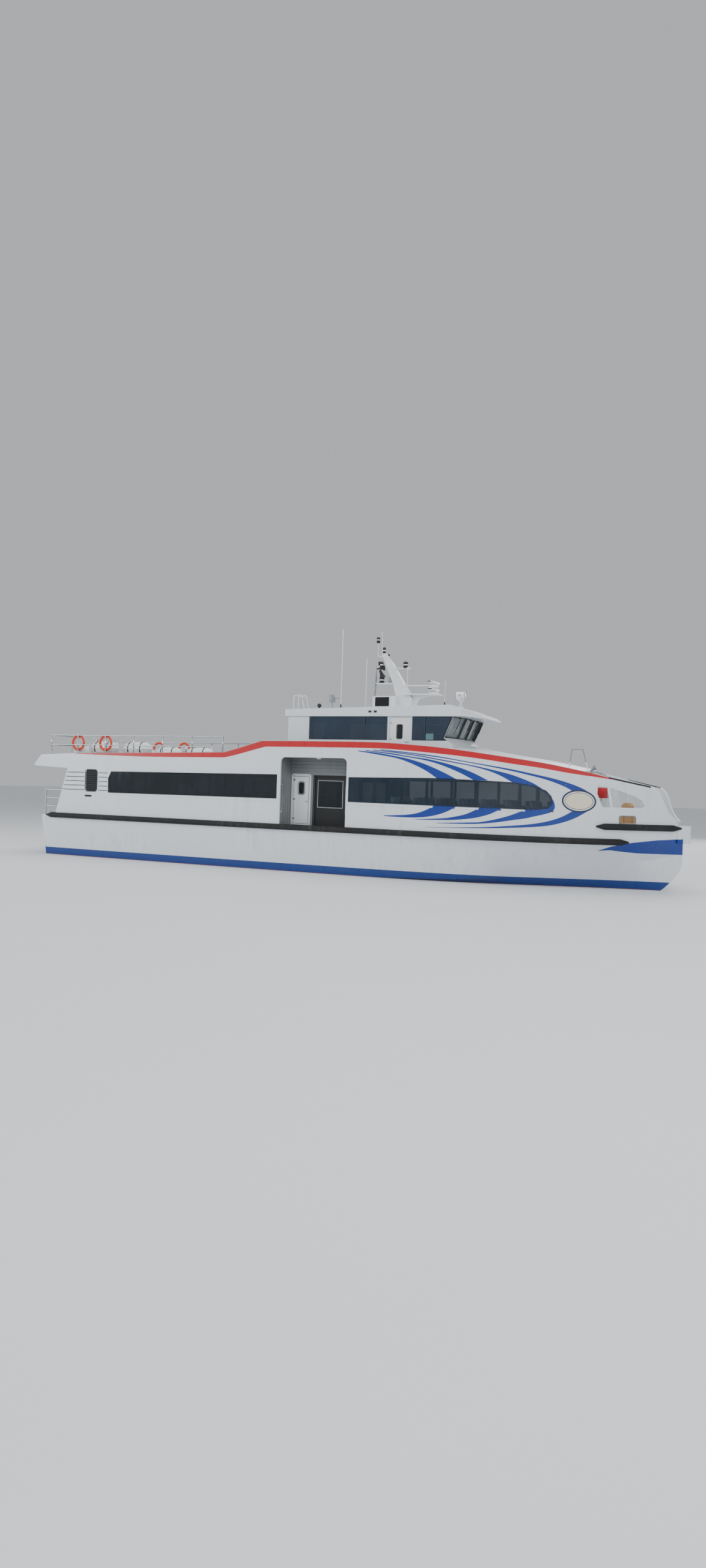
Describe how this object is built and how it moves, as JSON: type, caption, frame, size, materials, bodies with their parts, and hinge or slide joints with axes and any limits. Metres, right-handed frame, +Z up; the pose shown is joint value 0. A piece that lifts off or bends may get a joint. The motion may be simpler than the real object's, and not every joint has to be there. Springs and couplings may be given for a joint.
{
  "type": "passenger ferry",
  "caption": "Fast single-hulled passenger ferry with a glazed cabin, side boarding bays, raised wheelhouse and mast, built in separate panels with working doors, propellers, rudders and radars.",
  "frame": {"origin": "on the centreline, amidships, at the height of the water that the boat floats on", "axes": "+X towards the bow, +Y to port, +Z up"},
  "size_m": [26.5, 6.472, 10.9496],
  "materials": {
    "white_paint": "gloss white paint, slightly weathered",
    "grey_paint": "satin grey paint",
    "deck_paint": "non-slip deck paint",
    "tinted_glass": "dark tinted glass",
    "fender_rubber": "scuffed black rubber",
    "steel": "satin stainless steel",
    "bronze": "cast bronze",
    "seat_fabric": "blue woven seat cloth",
    "dark_frame": "matt dark trim",
    "engine_paint": "grey engine enamel",
    "white_plastic": "gloss moulded plastic"
  },
  "bodies": {
    "boat": {"hull": "white_paint", "side_aft_port": "white_paint", "side_aft_starboard": "white_paint", "side_forward_port": "white_paint", "side_forward_starboard": "white_paint", "bulwark_port": "white_paint", "bulwark_starboard": "white_paint", "glass_aft_port": "tinted_glass", "glass_aft_starboard": "tinted_glass", "glass_forward_port": "tinted_glass", "glass_forward_starboard": "tinted_glass", "bay_port": "grey_paint", "bay_starboard": "grey_paint", "cabin_roof": "deck_paint", "whaleback": "white_paint", "bulkhead_forward": "white_paint", "bulkhead_aft": "white_paint", "wheelhouse_front": "white_paint", "wheelhouse_glass": "tinted_glass", "wheelhouse_side_port": "white_paint", "wheelhouse_side_starboard": "white_paint", "deckhouse_aft": "white_paint", "wheelhouse_roof": "white_paint", "helm_console": "dark_frame", "seats_aft_port": "seat_fabric", "seats_aft_starboard": "seat_fabric", "seats_forward_port": "seat_fabric", "seats_forward_starboard": "seat_fabric", "engine_port": "engine_paint", "engine_starboard": "engine_paint", "engine_hatch": "deck_paint", "fender_lower_port": "fender_rubber", "fender_lower_starboard": "fender_rubber", "fender_upper_port": "fender_rubber", "fender_upper_starboard": "fender_rubber", "rail_port": "steel", "rail_starboard": "steel", "liferafts_port": "white_plastic", "liferafts_starboard": "white_plastic", "mast": "white_paint", "windlass": "steel", "bitts_port": "steel", "bitts_starboard": "steel", "aft_stair": "steel", "rail_stern": "steel"},
    "bay_door_port": {"bay_door_port": "white_paint"},
    "bay_door_starboard": {"bay_door_starboard": "white_paint"},
    "bay_slider_port": {"bay_slider_port": "dark_frame"},
    "bay_slider_starboard": {"bay_slider_starboard": "dark_frame"},
    "foredeck_door": {"foredeck_door": "white_paint"},
    "aft_door": {"aft_door": "white_paint"},
    "wheelhouse_door_port": {"wheelhouse_door_port": "white_paint"},
    "wheelhouse_door_starboard": {"wheelhouse_door_starboard": "white_paint"},
    "propeller_port": {"propeller_port": "bronze"},
    "propeller_starboard": {"propeller_starboard": "bronze"},
    "rudder_port": {"rudder_port": "steel"},
    "rudder_starboard": {"rudder_starboard": "steel"},
    "radar_low": {"radar_low": "white_plastic"},
    "radar_high": {"radar_high": "white_plastic"},
    "searchlight": {"searchlight": "steel"}
  },
  "joints": [
    {"name": "bay_door_port_swing", "type": "hinge", "parent": "boat", "child": "bay_door_port", "pos_m": [-1.202, 2.195, 2.7], "axis": [0, 0, 1], "range_deg": [0, 90]},
    {"name": "bay_door_starboard_swing", "type": "hinge", "parent": "boat", "child": "bay_door_starboard", "pos_m": [-1.202, -2.195, 2.7], "axis": [0, 0, -1], "range_deg": [0, 90]},
    {"name": "bay_slider_port_slide", "type": "slide", "parent": "boat", "child": "bay_slider_port", "axis": [1, 0, 0], "range_m": [0, 1.3]},
    {"name": "bay_slider_starboard_slide", "type": "slide", "parent": "boat", "child": "bay_slider_starboard", "axis": [1, 0, 0], "range_m": [0, 1.3]},
    {"name": "foredeck_door_swing", "type": "hinge", "parent": "boat", "child": "foredeck_door", "pos_m": [9.935, 0.382, 3.1], "axis": [0, 0, 1], "range_deg": [0, 90]},
    {"name": "aft_door_swing", "type": "hinge", "parent": "boat", "child": "aft_door", "pos_m": [-11.385, 0.442, 2.7], "axis": [0, 0, -1], "range_deg": [0, 90]},
    {"name": "wheelhouse_door_port_swing", "type": "hinge", "parent": "boat", "child": "wheelhouse_door_port", "pos_m": [2.628, 1.895, 5.1], "axis": [0, 0, 1], "range_deg": [0, 90]},
    {"name": "wheelhouse_door_starboard_swing", "type": "hinge", "parent": "boat", "child": "wheelhouse_door_starboard", "pos_m": [2.628, -1.895, 5.1], "axis": [0, 0, -1], "range_deg": [0, 90]},
    {"name": "propeller_port_spin", "type": "hinge", "parent": "boat", "child": "propeller_port", "pos_m": [-11.6, 1.35, -1.05], "axis": [0.9903, 0, 0.1392], "continuous": true},
    {"name": "propeller_starboard_spin", "type": "hinge", "parent": "boat", "child": "propeller_starboard", "pos_m": [-11.6, -1.35, -1.05], "axis": [0.9903, 0, 0.1392], "continuous": true},
    {"name": "rudder_port_turn", "type": "hinge", "parent": "boat", "child": "rudder_port", "pos_m": [-12.22, 1.35, -0.6], "axis": [0, 0, 1], "range_deg": [-35, 35]},
    {"name": "rudder_starboard_turn", "type": "hinge", "parent": "boat", "child": "rudder_starboard", "pos_m": [-12.22, -1.35, -0.6], "axis": [0, 0, 1], "range_deg": [-35, 35]},
    {"name": "radar_low_spin", "type": "hinge", "parent": "boat", "child": "radar_low", "pos_m": [3.65, 0, 7.1], "axis": [0, 0, 1], "continuous": true},
    {"name": "radar_high_spin", "type": "hinge", "parent": "boat", "child": "radar_high", "pos_m": [3.65, 0, 7.4], "axis": [0, 0, 1], "continuous": true},
    {"name": "searchlight_pan", "type": "hinge", "parent": "boat", "child": "searchlight", "pos_m": [5.05, -0.9, 6.6], "axis": [0, 0, 1], "range_deg": [-170, 170]}
  ],
  "couplings": [
    {"joint": "rudder_starboard_turn", "follows": "rudder_port_turn", "ratio": 1}
  ]
}
